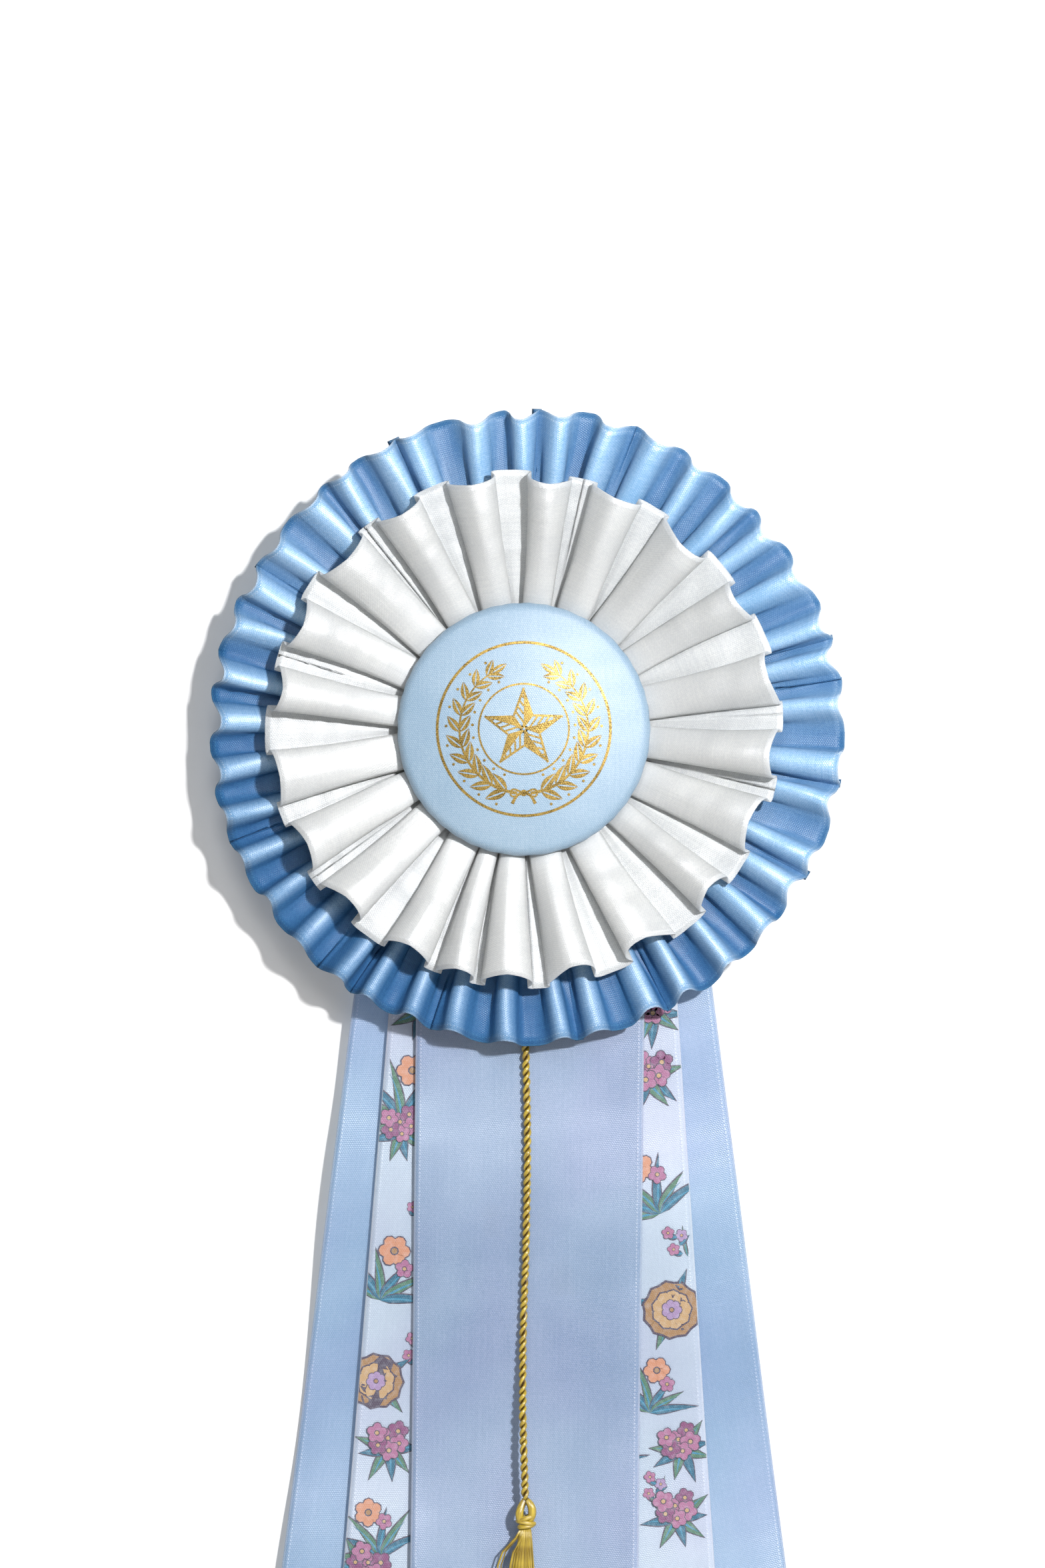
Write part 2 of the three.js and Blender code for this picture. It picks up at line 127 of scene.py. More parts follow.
def add_stage():
    """A pale wall close behind that only the camera sees, from its front, and a grey floor."""
    floor = Nodes("stage_white", 0.9, 0.0)
    floor.put("Base Color", (0.5, 0.5, 0.5))
    n = Nodes("wall_white", 0.9, 0.0)
    n.put("Base Color", (0.73, 0.72, 0.705))
    clear = n.add("ShaderNodeBsdfTransparent")
    facing = n.add("ShaderNodeNewGeometry")
    mix = n.add("ShaderNodeMixShader")
    n.link(facing.outputs["Backfacing"], mix.inputs[0])
    n.link(n.principled.outputs[0], mix.inputs[1])
    n.link(clear.outputs[0], mix.inputs[2])
    n.link(mix.outputs[0], n.output.inputs["Surface"])
    wide, low, high = 2500, -300, 1200
    wall = flat_quad(
        "wall",
        [(-wide, WALL_Y, low), (wide, WALL_Y, low), (wide, WALL_Y, high), (-wide, WALL_Y, high)],
        n.material,
    )
    for rays in ("diffuse", "glossy", "transmission", "shadow"):
        setattr(wall, "visible_" + rays, False)
    floor_ends = [(-wide, -wide), (wide, -wide), (wide, wide), (-wide, wide)]
    flat_quad("floor", [(x, y, low) for x, y in floor_ends], floor.material)


def add_lights():
    world = bpy.data.worlds.new("studio")
    bpy.context.scene.world = world
    world.use_nodes = True
    sky = world.node_tree.nodes["Background"].inputs
    sky["Color"].default_value = (0.97, 0.98, 1, 1)
    sky["Strength"].default_value = 0.2
    add_light("key", (470, -1100, 325), (65, 65), 21.5, (0.99, 0.99, 1))
    add_light("front", (-60, -960, 500), (320, 320), 2.8, (0.97, 0.985, 1))
    add_light("fill", (-800, -500, -100), (600, 600), 0.5, (1, 0.96, 0.9))
    add_light("back", (300, 800, 300), (600, 600), 14, (1, 0.97, 0.9))
    bpy.context.scene.view_settings.view_transform = "Standard"


# ---- materials ----------------------------------------------------------------------------------
class Nodes:
    """A new material, and short ways to add and join its nodes. Values may be numbers, colours
    without their alpha, or sockets."""

    def __init__(self, name, roughness, specular, metallic=0.0, sheen=0.0, anisotropic=0.0):
        self.material = bpy.data.materials.new(name)
        self.material.use_nodes = True
        self.tree = self.material.node_tree
        self.principled = self.tree.nodes["Principled BSDF"]
        self.output = self.tree.nodes["Material Output"]
        self.put("Roughness", roughness)
        self.put("Specular IOR Level", specular)
        self.put("Metallic", metallic)
        self.put("Sheen Weight", sheen)
        self.put("Sheen Roughness", 0.4)
        self.put("Anisotropic", anisotropic)
        self.put("Anisotropic Rotation", 0.25)

    def add(self, kind, **settings):
        node = self.tree.nodes.new(kind)
        for key, value in settings.items():
            setattr(node, key, value)
        return node

    def link(self, source, target):
        self.tree.links.new(source, target)

    def feed(self, socket, value):
        if isinstance(value, bpy.types.NodeSocket):
            self.link(value, socket)
        else:
            is_color = isinstance(value, tuple) and len(socket.default_value) == 4
            socket.default_value = (*value, 1) if is_color else value

    def put(self, name, value):
        """Sets or links one of the shader's own sockets."""
        self.feed(self.principled.inputs[name], value)

    def made(self, kind, inputs, output=0, **settings):
        """The output of a new node, whose inputs are given by their number or name."""
        node = self.add(kind, **settings)
        for key, value in inputs.items():
            self.feed(node.inputs[key], value)
        return node.outputs[output]

    def math(self, operation, a, b=0.0, clamp=False):
        return self.made("ShaderNodeMath", {0: a, 1: b}, operation=operation, use_clamp=clamp)

    def dot(self, vector, direction):
        inputs = {0: vector, 1: direction}
        return self.made("ShaderNodeVectorMath", inputs, "Value", operation="DOT_PRODUCT")

    def mix(self, factor, a, b, blend_type="MIX"):
        inputs = {0: factor, 6: a, 7: b}
        return self.made("ShaderNodeMix", inputs, 2, data_type="RGBA", blend_type=blend_type)

    def tint(self, factor, a, b):
        return self.mix(factor, a, b, "MULTIPLY")

    def fit(self, value, low, high, to_low=0.0, to_high=1.0):
        inputs = {0: value, 1: low, 2: high, 3: to_low, 4: to_high}
        return self.made("ShaderNodeMapRange", inputs)

    def scaled(self, vector, scale):
        return self.made("ShaderNodeMapping", {0: vector, "Scale": scale})

    def noise(self, vector, scale, detail=2.0, roughness=0.5):
        inputs = {"Vector": vector, "Scale": scale, "Detail": detail, "Roughness": roughness}
        return self.made("ShaderNodeTexNoise", inputs)

    def bump(self, height, strength, distance_mm, normal=None):
        inputs = {"Strength": strength, "Distance": distance_mm * MM, "Height": height}
        if normal is not None:
            inputs["Normal"] = normal
        return self.made("ShaderNodeBump", inputs)

    def follow_threads(self):
        """Turns the gloss along the cloth's threads."""
        tangent = self.add("ShaderNodeTangent", direction_type="UV_MAP", uv_map="cloth")
        self.put("Tangent", tangent.outputs[0])

    def uv(self):
        return self.add("ShaderNodeUVMap", uv_map="cloth").outputs[0]

    def object_mm(self):
        """The frame's coordinates in millimetres."""
        coords = self.add("ShaderNodeTexCoord").outputs["Object"]
        return self.scaled(coords, (1000, 1000, 1000))


WEAVE_PITCH = 0.43
WEAVE_ANGLES = (26, 142, 84)  # the satin's weave is three waves that cross the cloth at these angles
LAVENDER = (1.0, 0.93, 0.99)  # how the tails' satin turns in broad patches
WOVEN_LINE = 1.2  # how far a ribbon's line of loops lies from its edge
LOOP_PITCH = 0.85


def weave(n, uv):
    """The satin weave's small raised floats, from 0 between them to 1 on them."""
    total = None
    for angle in WEAVE_ANGLES:
        turn = radians(angle)
        wave = (sin(turn) / WEAVE_PITCH, cos(turn) / WEAVE_PITCH, 0)
        phase = n.math("MULTIPLY", n.dot(uv, wave), tau)
        cosine = n.math("COSINE", phase)
        total = cosine if total is None else n.math("ADD", total, cosine)
    return n.fit(total, -1.5, 3.0)


def selvedge(n, uv, width):
    """A ribbon's pale edges and the loops woven just inside them, from 0 to 1."""
    parts = n.add("ShaderNodeSeparateXYZ")
    n.link(uv, parts.inputs[0])
    from_middle = n.math("ABSOLUTE", n.math("SUBTRACT", parts.outputs[1], width / 2))
    from_edge = n.math("SUBTRACT", width / 2, from_middle)
    line = n.math("ABSOLUTE", n.math("SUBTRACT", from_edge, WOVEN_LINE))
    inside = n.fit(line, 0.05, 0.22, 1.0, 0.0)
    beat = n.math("SINE", n.math("MULTIPLY", parts.outputs[0], tau / LOOP_PITCH))
    stitches = n.math("MULTIPLY", inside, n.fit(beat, -0.2, 0.6, 0.0, 0.9))
    return n.math("ADD", stitches, n.fit(from_edge, 0.2, 0.5, 0.8, 0.0))


def satin(
    name, color, shade, through, width=None, see_through=0.3, roughness=0.42, valley=None, ior=1.75
):
    """Satin ribbon: floats of the weave, faint threads along it, and light that comes through.

    width adds a ribbon's woven edges, and valley is the colour of the painted shade that the folds'
    depths multiply into the cloth, darkest down in the valleys."""
    n = Nodes(name, roughness, 1.0, anisotropic=0.55 if width else 0.0)
    n.put("IOR", ior)
    n.put("Anisotropic Rotation", 0.0 if valley else 0.25)
    uv = n.uv()
    floats = weave(n, uv)
    threads = n.noise(n.scaled(uv, (0.05, 5.0, 1)), 1.0, 3.0)
    clouds = n.noise(uv, 0.06, 3.0)
    tone = n.math("ADD", n.math("MULTIPLY", floats, 0.65), n.fit(threads, 0.3, 0.7, -0.1, 0.25))
    tone = n.math("ADD", tone, n.fit(clouds, 0.35, 0.65, -0.12, 0.15))
    grain = n.noise(uv, 1.6, 2.0, 0.6)
    tone = n.math("ADD", tone, n.fit(grain, 0.3, 0.7, -0.22, 0.22), clamp=True)
    surface = n.mix(tone, shade, color)
    height = floats
    if width:
        stitches = selvedge(n, uv, width)
        surface = n.mix(n.math("MULTIPLY", stitches, 0.38), surface, (0.84, 0.89, 0.95))
        height = n.math("ADD", height, n.math("MULTIPLY", stitches, 0.8))
    if width and not valley:
        bloom = n.noise(n.scaled(uv, (1, 1.6, 1)), 0.022, 1.0)
        surface = n.tint(n.fit(bloom, 0.42, 0.62), surface, LAVENDER)
    if valley:
        # Painted shade: the valley colour tints the cloth more the further back the fold lies, and the
        # same value lowers the gloss there.
        fold_shade = n.add("ShaderNodeAttribute", attribute_name="fold_shade").outputs["Fac"]
        surface = n.tint(n.fit(fold_shade, -0.1, 0.85, 1.0, 0.0), surface, valley)
        n.put("Specular IOR Level", n.fit(fold_shade, 0.0, 0.7, 0.3, 1.0))
    n.put("Base Color", surface)
    rough = n.fit(floats, 0.0, 1.0, roughness + 0.12, roughness - 0.04)
    n.put("Roughness", rough)
    normal = n.bump(height, 0.55 if valley else 0.6, 0.065)
    if valley:
        wrinkles = n.noise(n.scaled(uv, (0.7, 0.05, 1)), 1.0, 3.0)
        normal = n.bump(wrinkles, 0.3, 0.35, normal)
    n.put("Normal", normal)
    n.follow_threads()
    lit_through = n.add("ShaderNodeBsdfTranslucent")
    n.feed(lit_through.inputs["Color"], through)
    blend = n.add("ShaderNodeMixShader")
    blend.inputs[0].default_value = see_through
    n.link(n.principled.outputs[0], blend.inputs[1])
    n.link(lit_through.outputs[0], blend.inputs[2])
    n.link(blend.outputs[0], n.output.inputs["Surface"])
    return n.material


def gold_thread(name):
    """Rayon floss: fine filaments along the strand, bright on top, and near-black painted shade deep
    between strands.
    """
    n = Nodes(name, 0.34, 1.0, anisotropic=0.5)
    uv = n.uv()
    filaments = n.noise(n.scaled(uv, (0.25, 9.0, 1)), 1.0, 3.0, 0.6)
    mixed = n.mix(n.fit(filaments, 0.38, 0.6), (0.2, 0.12, 0.01), (0.56, 0.41, 0.03))
    # Painted shade: the depth attribute mixes in near-black in grooves, knot middles and back strands.
    depth = n.add("ShaderNodeAttribute", attribute_name="depth").outputs["Fac"]
    mixed = n.mix(depth, mixed, (0.05, 0.022, 0.002))
    n.put("Base Color", mixed)
    n.put("Normal", n.bump(filaments, 0.8, 0.08))
    n.follow_threads()
    return n.material


def metal(name, color, dull, roughness):
    """Plated or bright metal with fine drawing marks and duller patches."""
    n = Nodes(name, roughness, 0.5, metallic=1.0)
    coords = n.object_mm()
    marks = n.noise(n.scaled(coords, (0.06, 1, 1)), 6.0, 4.0)
    patches = n.noise(coords, 0.35, 3.0)
    n.put("Base Color", n.mix(n.fit(patches, 0.35, 0.7), color, dull))
    rough = n.fit(n.math("ADD", marks, patches), 0.6, 1.4, roughness - 0.08, roughness + 0.16)
    n.put("Roughness", rough)
    n.put("Normal", n.bump(marks, 0.15, 0.02))
    return n.material


def paperboard(name, color, fleck):
    """Uncoated card: short fibres, a faint mottle and a dry surface."""
    n = Nodes(name, 0.85, 0.25)
    coords = n.object_mm()
    fibres = n.noise(n.scaled(coords, (1, 1, 5)), 1.6, 5.0, 0.7)
    mottle = n.noise(coords, 0.12, 3.0)
    tone = n.math("ADD", n.fit(fibres, 0.35, 0.62), n.fit(mottle, 0.3, 0.7, -0.3, 0.3), clamp=True)
    n.put("Base Color", n.mix(tone, fleck, color))
    n.put("Normal", n.bump(fibres, 0.3, 0.06))
    return n.material


def soft_plastic(name, color, shade, pores=2.4, roughness=0.6):
    """Foam tape or set glue: fine pores and a slight unevenness."""
    n = Nodes(name, roughness, 0.4)
    grain = n.noise(n.object_mm(), pores, 4.0, 0.6)
    n.put("Base Color", n.mix(n.fit(grain, 0.3, 0.7), shade, color))
    n.put("Normal", n.bump(grain, 0.35, 0.08))
    return n.material


def foil(name):
    """Hot-stamped gold foil on satin: bright gold, broken up where the weave shows through."""
    n = Nodes(name, 0.42, 0.6, metallic=0.7)
    coords = n.uv()
    floats = weave(n, coords)
    speckle = n.noise(coords, 2.3, 3.0, 0.6)
    patches = n.noise(coords, 0.22, 2.0)
    tone = n.math("ADD", n.math("MULTIPLY", floats, 0.55), n.fit(speckle, 0.3, 0.7, -0.15, 0.65))
    tone = n.math("ADD", tone, n.fit(patches, 0.35, 0.65, -0.2, 0.15), clamp=True)
    n.put("Base Color", n.mix(tone, (0.11, 0.07, 0.015), (0.58, 0.39, 0.1)))
    n.put("Roughness", n.fit(tone, 0.0, 1.0, 0.6, 0.36))
    n.put("Normal", n.bump(floats, 0.4, 0.04))
    return n.material


def ink(name):
    """The tails' printed motifs: each shape's own colour, with the weave and a washed tone in it."""
    n = Nodes(name, 0.5, 0.4, sheen=0.1)
    uv = n.uv()
    floats = weave(n, uv)
    wash = n.noise(uv, 0.9, 3.0, 0.6)
    paint = n.add("ShaderNodeVertexColor", layer_name="ink").outputs[0]
    pale = n.mix(0.2, paint, (0.7, 0.78, 0.86))
    tone = n.math("ADD", n.math("MULTIPLY", floats, 0.4), n.fit(wash, 0.45, 0.7, 0.0, 0.5), clamp=True)
    n.put("Base Color", n.mix(tone, paint, pale))
    n.put("Normal", n.bump(floats, 0.5, 0.05))
    return n.material


# ---- mesh helpers -------------------------------------------------------------------------------
def build(name, points, faces, material, uvs):
    """A mesh object from points in millimetres, with one UV in millimetres for each point."""
    mesh = bpy.data.meshes.new(name)
    mesh.from_pydata([place(*p) for p in points], [], faces)
    mesh.materials.append(material)
    layer = mesh.uv_layers.new(name="cloth")
    flat = [c for loop in mesh.loops for c in uvs[loop.vertex_index]]
    layer.data.foreach_set("uv", flat)
    mesh.polygons.foreach_set("use_smooth", [True] * len(mesh.polygons))
    piece = bpy.data.objects.new(name, mesh)
    bpy.context.scene.collection.objects.link(piece)
    return piece


def grid_faces(rows, columns, start=0, wrap=False):
    """Quads between rows of columns points; wrap joins the last column to the first."""
    last = columns if wrap else columns - 1
    faces = []
    for i in range(rows - 1):
        for j in range(last):
            a = start + i * columns + j
            b = start + i * columns + (j + 1) % columns
            faces.append((a, b, b + columns, a + columns))
    return faces


def thicken(piece, thickness, offset=0.0):
    solid = piece.modifiers.new("thickness", "SOLIDIFY")
    solid.thickness = thickness * MM
    solid.offset = offset
    solid.use_even_offset = False
    apply_modifiers(piece)


def apply_modifiers(piece):
    depsgraph = bpy.context.evaluated_depsgraph_get()
    mesh = bpy.data.meshes.new_from_object(piece.evaluated_get(depsgraph))
    piece.modifiers.clear()
    piece.data = mesh


def tube(points, radii, sides):
    """Rings round a path in millimetres, closed at both ends: points, faces and UVs."""
    out, uvs = [], []
    length = 0.0
    up = Vector((0.13, 0.97, 0.2)).normalized()
    for i, p in enumerate(points):
        ahead = points[min(i + 1, len(points) - 1)] - points[max(i - 1, 0)]
        ahead.normalize()
        side = ahead.cross(up).normalized()
        up = side.cross(ahead).normalized()
        if i:
            length += (p - points[i - 1]).length
        for k in range(sides):
            angle = tau * k / sides
            out.append(p + (side * cos(angle) + up * sin(angle)) * radii[i])
            uvs.append((length, k / sides * tau * radii[i]))
    faces = grid_faces(len(points), sides, 0, True)
    faces.append(tuple(reversed(range(sides))))
    end = (len(points) - 1) * sides
    faces.append(tuple(range(end, end + sides)))
    return out, faces, uvs


def merge(parts):
    """Joins lists of (points, faces, uvs) into one."""
    points, faces, uvs = [], [], []
    for p, f, u in parts:
        start = len(points)
        points += p
        uvs += u
        faces += [tuple(start + i for i in face) for face in f]
    return points, faces, uvs


def note_points(piece, name, values):
    """Gives each point a number that the material reads by its name."""
    piece.data.attributes.new(name, "FLOAT", "POINT").data.foreach_set("value", values)


def bspline(points, count):
    """Points spread evenly in parameter along an open cubic B-spline that ends on its end points."""
    padded = [2 * points[0] - points[1], *points, 2 * points[-1] - points[-2]]
    spans = len(padded) - 3
    out = []
    for i in range(count):
        t = spans * i / (count - 1)
        k = min(int(t), spans - 1)
        u = t - k
        a, b, c, d = padded[k : k + 4]
        w = ((1 - u) ** 3, 3 * u**3 - 6 * u**2 + 4, -3 * u**3 + 3 * u**2 + 3 * u + 1, u**3)
        out.append((a * w[0] + b * w[1] + c * w[2] + d * w[3]) / 6)
    return out


# ---- ruffles ------------------------------------------------------------------------------------
RIBBON_CLOTH = 0.22
RUFFLE_WIDTH = 38

# Each ruffle's radii at the sewn edge, in the valleys and on the panels, its height off the card
# and its pleats' depth at the sewn edge and at the rim, and its panels' width and shape; then how
# much painted shade deepens the tint of the lower left folds, and flare how the panels widen to the rim.
WHITE = SimpleNamespace(
    inner=19.5, shift=(0.0, 0.0), valley=58.2, front=54.9, base=(-9.6, -15.6),
    depth=(1.3, 8.6), panel=9.8, rise=1.15, arch=0.95, wave=0.3,
    under=(3.6, 1.9), rows=26, half=15, seed=5, painted_shade=0.0, flare=(0.8, 1.22),
)
BLUE = SimpleNamespace(
    inner=33.5, shift=(0.8, 0.6), valley=71.8, front=69.8, base=(-9.3, -10.2),
    depth=(0.8, 6.0), panel=5.0, rise=1.2, arch=1.0, wave=1.0,
    under=(2.0, 0.5), rows=18, half=11, seed=11, painted_shade=0.7, flare=(0.92, 1.12),
)
# Where the white ruffle's pleats meet at the button, in degrees clockwise from the top.
WHITE_FOLDS = [
    15, 31, 49, 68, 86, 104, 122, 141, 161, 179, 191, 200, 218, 236, 251, 269, 287, 304, 322, 339, 356,
]


def even_folds(count, jitter, seed):
    """Fold angles spaced evenly, each moved a little."""
    rng = random.Random(seed)
    step = 360 / count
    return [step * (i + 0.35) + rng.uniform(-jitter, jitter) for i in range(count)]


# How far each pleat may differ from its neighbours. sway bends a pleat sideways along its length.
STYLE_SPANS = {
    "panel": (0.86, 1.14), "depth": (0.8, 1.1), "lean": (-0.38, 0.38), "reach": (-0.9, 0.7),
    "under": (0.6, 1.5), "bow": (-0.7, 1.1), "twist": (-0.025, 0.025), "sway": (-0.03, 0.03),
}


def pleat_styles(count, seed):
    rng = random.Random(seed)
    styles = []
    for _ in range(count):
        drawn = {key: rng.uniform(*span) for key, span in STYLE_SPANS.items()}
        styles.append(SimpleNamespace(**drawn))
    return styles


def half_pleat(spec, half_panel, half_pitch, under, lean, u):
    """Half a pleat's section from the panel's middle to the valley's, as (sideways, forward 0..1).

    At the sewn edge the panel is pressed flat; towards the rim it springs open into an arch."""
    arch = spec.arch * smooth((u - 0.05) * 1.3)
    gap = half_pitch - half_panel
    waist = half_panel - under
    points = [
        (0, 1.0),
        (0.3 * half_panel, lerp(0.97, 0.93, arch) + 0.3 * lean),
        (0.6 * half_panel, lerp(0.88, 0.76, arch) + 0.6 * lean),
        (0.86 * half_panel, lerp(0.72, 0.54, arch) + 0.7 * lean),
        (half_panel, lerp(0.5, 0.34, arch) + 0.5 * lean),
        (lerp(half_panel, waist, 0.35), lerp(0.3, 0.17, arch) + 0.2 * lean),
        (waist, lerp(0.12, 0.05, arch)),
        (lerp(waist, half_panel, 0.4), 0.0),
        (half_panel + 0.2 * gap, 0.01),
        (half_panel + 0.6 * gap, 0.05),
        (half_pitch, 0.07),
    ]
    wave = [
        (0, 1.0),
        (0.35 * half_panel, 0.93 + 0.3 * lean),
        (0.66 * half_panel, 0.77 + 0.6 * lean),
        (0.88 * half_panel, 0.6 + 0.6 * lean),
        (half_panel, 0.48 + 0.4 * lean),
        (half_panel + 0.08 * gap, 0.37 + 0.3 * lean),
        (half_panel + 0.2 * gap, 0.26 + 0.2 * lean),
        (half_panel + 0.38 * gap, 0.16 + 0.1 * lean),
        (half_panel + 0.58 * gap, 0.08),
        (half_panel + 0.8 * gap, 0.02),
        (half_pitch, 0.0),
    ]
    open_share = spec.wave * smooth((u - 0.3) * 1.6)
    section = [Vector(p).lerp(Vector(q), open_share) for p, q in zip(points, wave)]
    return bspline(section, spec.half)


def pleat_point(spec, style, u, sideways, forward, center, sign):
    """One point of the cloth, u of the way from the sewn edge to the rim."""
    rim = lerp(spec.valley, spec.front, max(0.0, forward)) + style.reach * forward
    radius = lerp(spec.inner, rim, u)
    depth = lerp(spec.depth[0], spec.depth[1] * style.depth, u ** spec.rise)
    base = lerp(spec.base[0], spec.base[1], u)
    bow = style.bow * sin(pi * u) * forward
    roll = 0.09 * depth * smooth((u - 0.82) / 0.18) * forward
    angle = center + sign * sideways / radius + style.twist * smooth(u)
    angle += style.sway * sin(pi * u) * forward
    radius += 0.9 * u * u * noise.noise(Vector((sin(angle), cos(angle), spec.seed)) * 2.2)
    radius += u * (spec.shift[0] * sin(angle) + spec.shift[1] * cos(angle))
    y = base - depth * forward - bow + roll
    wrinkle = noise.noise(Vector((angle * radius * 0.12, u * 4.0, spec.seed)))
    y += wrinkle * 0.55 * u
    return Vector((radius * sin(angle), y, radius * cos(angle)))


def ruffle(name, spec, folds, material):
    """One pleated strip sewn in a ring: panels edge to edge at the middle, flaring to the rim."""
    count = len(folds)
    styles = pleat_styles(count, spec.seed)
    rows, uvs, fold_shades = [], [], []
    for i in range(spec.rows):
        u = i / (spec.rows - 1)
        radius = lerp(spec.inner, spec.valley, u)
        row = []
        for k, style in enumerate(styles):
            start = radians(folds[k])
            end = radians(folds[(k + 1) % count] + (360 if k == count - 1 else 0))
            pitch = (end - start) / 2
            center = start + pitch
            half_pitch = pitch * radius
            flare = lerp(*spec.flare, u * u) * style.panel
            half_panel = min(spec.panel * flare / 2, half_pitch * 0.985)
            under = lerp(*spec.under, u) * style.under
            under = min(under, half_panel * 0.9)
            for sign in (-1, 1):
                lean = sign * style.lean * u
                half = half_pleat(spec, half_panel, half_pitch, under, lean, u)
                ordered = half[:0:-1] if sign < 0 else half[:-1]
                # Painted shade: the lower left folds count as lying further back, so the valley tint
                # darkens them more.
                painted_shade = spec.painted_shade * max(0.0, -0.45 * sin(center) - 0.9 * cos(center))
                for p in ordered:
                    row.append(pleat_point(spec, style, u, p.x, p.y, center, sign))
                    fold_shades.append(p.y - painted_shade)
        rows.append(row)
    columns = len(rows[0])
    run = [0.0]
    for j in range(1, columns):
        run.append(run[-1] + (rows[-1][j] - rows[-1][j - 1]).length)
    for i in range(spec.rows):
        uvs += [(run[j], RUFFLE_WIDTH * i / (spec.rows - 1)) for j in range(columns)]
    points = [p for row in rows for p in row]
    piece = build(name, points, grid_faces(len(rows), columns, 0, True), material, uvs)
    note_points(piece, "fold_shade", fold_shades)
    thicken(piece, RIBBON_CLOTH)
    return piece, run[-1]


# ---- button -------------------------------------------------------------------------------------
button_low, button_high = ((c - CENTER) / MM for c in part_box("button_cover"))
BUTTON_RADIUS = (button_high.x - button_low.x) / 2
BUTTON_PEAK = button_low.y - 1.0  # the cloth is padded a little off the metal in the middle
BUTTON_BACK = button_high.y
BUTTON_CROWN = 4.4
BUTTON_EDGE = 2.6
# Where the crown runs into the rounded edge: its slope there, and how far out that is.
EDGE_SLOPE = atan(2 * BUTTON_CROWN / (BUTTON_RADIUS - BUTTON_EDGE))
CROWN_END = BUTTON_RADIUS - BUTTON_EDGE + BUTTON_EDGE * sin(EDGE_SLOPE)


def dome_y(radius):
    """The button's front surface at a distance from its middle, inside its rounded edge."""
    return BUTTON_PEAK + BUTTON_CROWN * (radius / CROWN_END) ** 2


def button_profile():
    """[radius, y] from the middle over the edge to the turned-in lip."""
    points = [(CROWN_END * i / 30, dome_y(CROWN_END * i / 30)) for i in range(1, 31)]
    center_y = BUTTON_PEAK + BUTTON_CROWN + BUTTON_EDGE * cos(EDGE_SLOPE)
    for i in range(1, 10):
        angle = EDGE_SLOPE + (pi / 2 - EDGE_SLOPE) * i / 9
        edge_r = BUTTON_RADIUS - BUTTON_EDGE + BUTTON_EDGE * sin(angle)
        points.append((edge_r, center_y - BUTTON_EDGE * cos(angle)))
    points.append((BUTTON_RADIUS - 0.05, lerp(center_y, BUTTON_BACK, 0.5)))
    points.append((BUTTON_RADIUS - 0.3, BUTTON_BACK - 0.4))
    points.append((BUTTON_RADIUS - 0.9, BUTTON_BACK - 0.15))
    points.append((BUTTON_RADIUS - 2.6, BUTTON_BACK - 0.15))
    return points


def satin_button(material):
    """The printed satin drawn over the shell, with small gathers where it turns round the edge."""
    sides = 144
    profile = button_profile()
    points, uvs = [Vector((0, dome_y(0), 0))], [(0, 0)]
    run, last = 0.0, (0, dome_y(0))
    for radius, y in profile:
        run += dist((radius, y), last)
        last = (radius, y)
        gather = smooth((run - BUTTON_RADIUS + 1) / 4)
        for k in range(sides):
            angle = tau * k / sides
            pull = 0.09 * gather * sin(36 * angle + 2 * sin(5 * angle))
            r = radius + pull
            points.append(Vector((r * sin(angle), y, r * cos(angle))))
            uvs.append((-run * cos(angle), run * sin(angle)))
    faces = [(0, 1 + k, 1 + (k + 1) % sides) for k in range(sides)]
    faces += grid_faces(len(profile), sides, 1, True)
    piece = build("button_satin", points, faces, material, uvs)
    thicken(piece, 0.25, -1.0)
    return piece, run


# ---- emblem -------------------------------------------------------------------------------------
FOIL_LIFT = 0.07
EMBLEM_RADIUS = 19.4
WREATH_RADIUS = 14.4
STAR_GAP = 0.22


def foil_part(flat, faces):
    """Foil laid on the dome, from its (across, up) points: points, faces and UVs."""
    laid = [Vector((q.x, dome_y(hypot(q.x, q.y)) - FOIL_LIFT, q.y)) for q in flat]
    return laid, faces, [(-q.y, q.x) for q in flat]


def foil_band(path, widths, closed=False):
    """A flat band of foil along a path of (across, up) points."""
    flat = []
    count = len(path)
    for i, p in enumerate(path):
        a = path[(i - 1) % count] if closed else path[max(i - 1, 0)]
        b = path[(i + 1) % count] if closed else path[min(i + 1, count - 1)]
        along = (b - a).normalized()
        across = Vector((-along.y, along.x))
        flat += [p + across * widths[i] * side for side in (-0.5, 0, 0.5)]
    faces = grid_faces(count, 3)
    if closed:
        end = (count - 1) * 3
        faces += [(end + j, end + j + 1, j + 1, j) for j in range(2)]
    return foil_part(flat, faces)


def foil_circle(radius, width):
    steps = 120
    path = [spoke(tau * i / steps, radius) for i in range(steps)]
    return foil_band(path, [width] * steps, closed=True)


def foil_leaf(root, direction, length, width, bend=0.0):
    """A pointed leaf with a slim vein left open down its middle."""
    along = direction.normalized()
    across = Vector((-along.y, along.x))
    parts = []
    for side in (-1, 1):
        path, widths = [], []
        for i in range(7):
            t = i / 6
            swell = sin(pi * t**0.85)
            half = width * 0.5 * swell
            curve = across * bend * sin(pi * t)
            path.append(root + along * length * t + curve + across * side * (half * 0.55 + 0.05))
            widths.append(max(0.03, half * 0.86))
        parts.append(foil_band(path, widths))
    return parts


